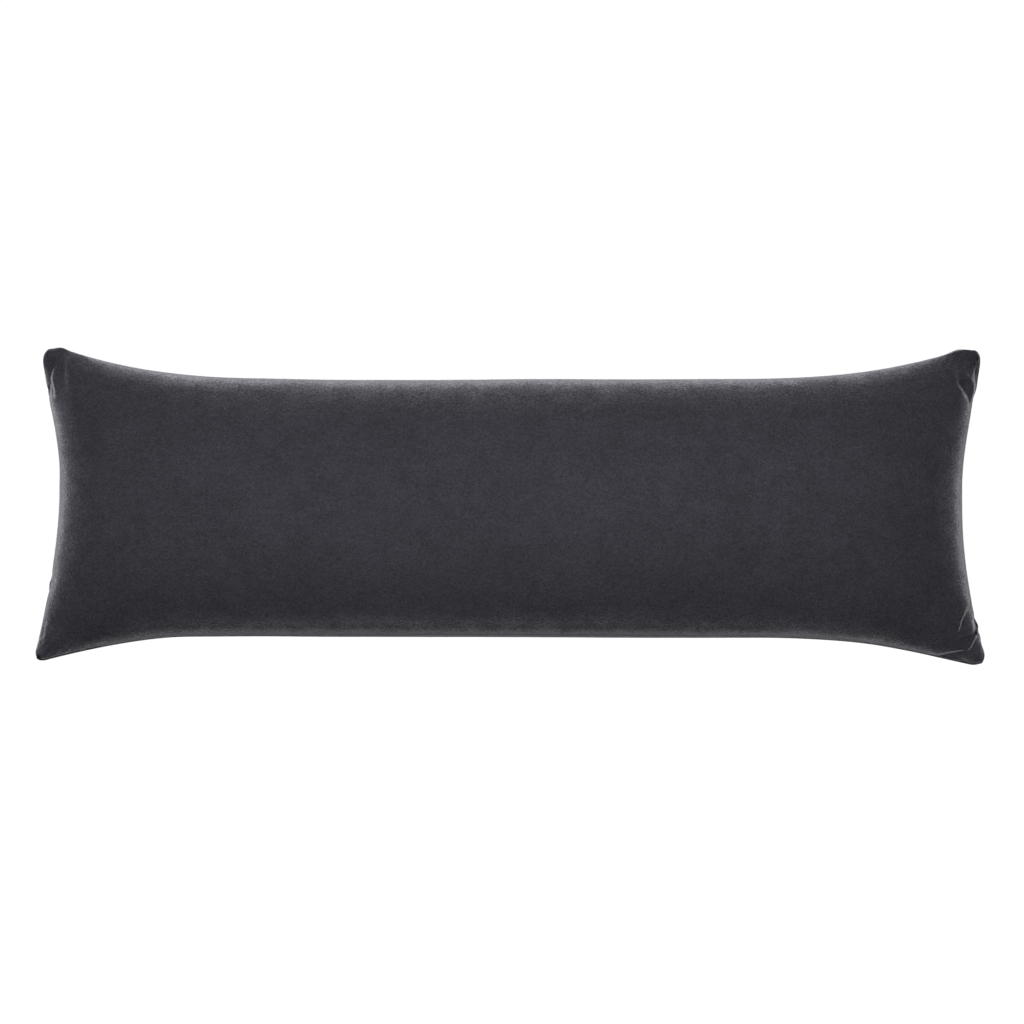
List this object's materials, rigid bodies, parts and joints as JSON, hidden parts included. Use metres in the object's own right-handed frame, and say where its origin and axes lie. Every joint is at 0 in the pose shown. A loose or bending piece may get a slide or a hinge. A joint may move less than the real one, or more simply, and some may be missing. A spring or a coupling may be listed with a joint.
{
  "type": "lumbar pillow",
  "caption": "Long narrow filled cushion with drawn-in sides, pointed corners and a plain turned edge seam, lying on its back.",
  "frame": {"origin": "middle of the pillow's outline, on the surface that its back rests on", "axes": "+X along the pillow, +Y across it, +Z out of the front face"},
  "size_m": [0.8828, 0.2954, 0.152],
  "materials": {
    "velvet": "charcoal cotton velvet with a short matt pile"
  },
  "bodies": {
    "root": {"cushion": "velvet"}
  },
  "joints": []
}
